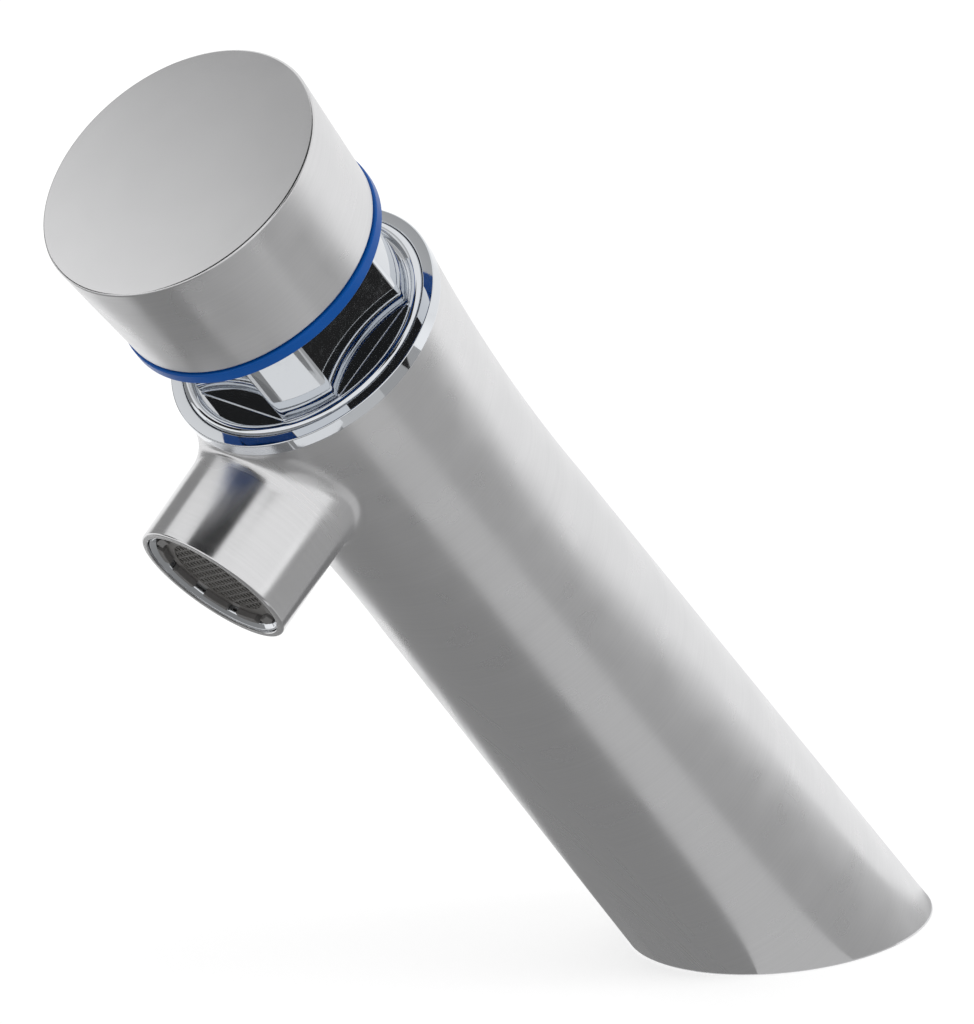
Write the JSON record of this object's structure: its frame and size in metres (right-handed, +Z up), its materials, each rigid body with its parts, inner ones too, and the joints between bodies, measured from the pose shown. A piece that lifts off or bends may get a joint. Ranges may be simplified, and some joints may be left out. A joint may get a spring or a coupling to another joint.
{
  "type": "push button basin tap",
  "caption": "Self-closing push-button basin tap with a leaning round body, short spout with aerator and a cold-water ring under the cap.",
  "frame": {"origin": "centre of the base on the deck, on the axis of the deck stud's threaded hole", "axes": "+Z up out of the deck, the tap leans and its spout points towards -Y, +X to the side"},
  "size_m": [0.05, 0.188, 0.1812],
  "materials": {
    "brushed_steel": "brushed",
    "chrome": "polished",
    "blue_plastic": "gloss",
    "dark_plastic": "moulded",
    "white_plastic": "moulded",
    "steel_mesh": "woven",
    "plain_steel": "turned",
    "brass": "turned",
    "copper": "drawn",
    "black_rubber": "matt"
  },
  "bodies": {
    "tap": {"tap_body": "brushed_steel", "base_gasket": "black_rubber", "supply_block": "brass", "block_oring": "black_rubber", "lock_screw": "plain_steel", "feed_tube": "copper", "tube_orings": "black_rubber", "inlet_strainer": "plain_steel", "cartridge_sleeve": "white_plastic", "sleeve_oring": "black_rubber", "valve_seat_ring": "brass", "head_oring": "black_rubber", "cartridge_head": "chrome", "collar_ring": "chrome", "guide_bush": "white_plastic", "stem_seal": "black_rubber", "return_spring": "plain_steel", "aerator_washer": "black_rubber", "flow_regulator": "white_plastic", "aerator_housing": "chrome", "aerator_cage": "dark_plastic", "aerator_mesh": "steel_mesh"},
    "stem": {"push_stem": "plain_steel", "valve_poppet": "brass", "valve_washer": "black_rubber", "timing_piston": "white_plastic", "piston_lip_seal": "black_rubber", "piston_clip": "plain_steel"},
    "cap": {"cap_hub": "white_plastic", "hub_clip": "plain_steel", "cold_ring": "blue_plastic", "push_cap": "brushed_steel"}
  },
  "joints": [
    {"name": "push", "type": "slide", "parent": "tap", "child": "stem", "axis": [0, 0.6428, -0.766], "range_m": [0, 0.008], "stiffness_N_per_m": 1500, "springref_m": -0.006, "deforming": ["return_spring"]},
    {"name": "cap_spin", "type": "hinge", "parent": "stem", "child": "cap", "pos_m": [0, 0, 0], "axis": [0, -0.6428, 0.766], "continuous": true}
  ]
}
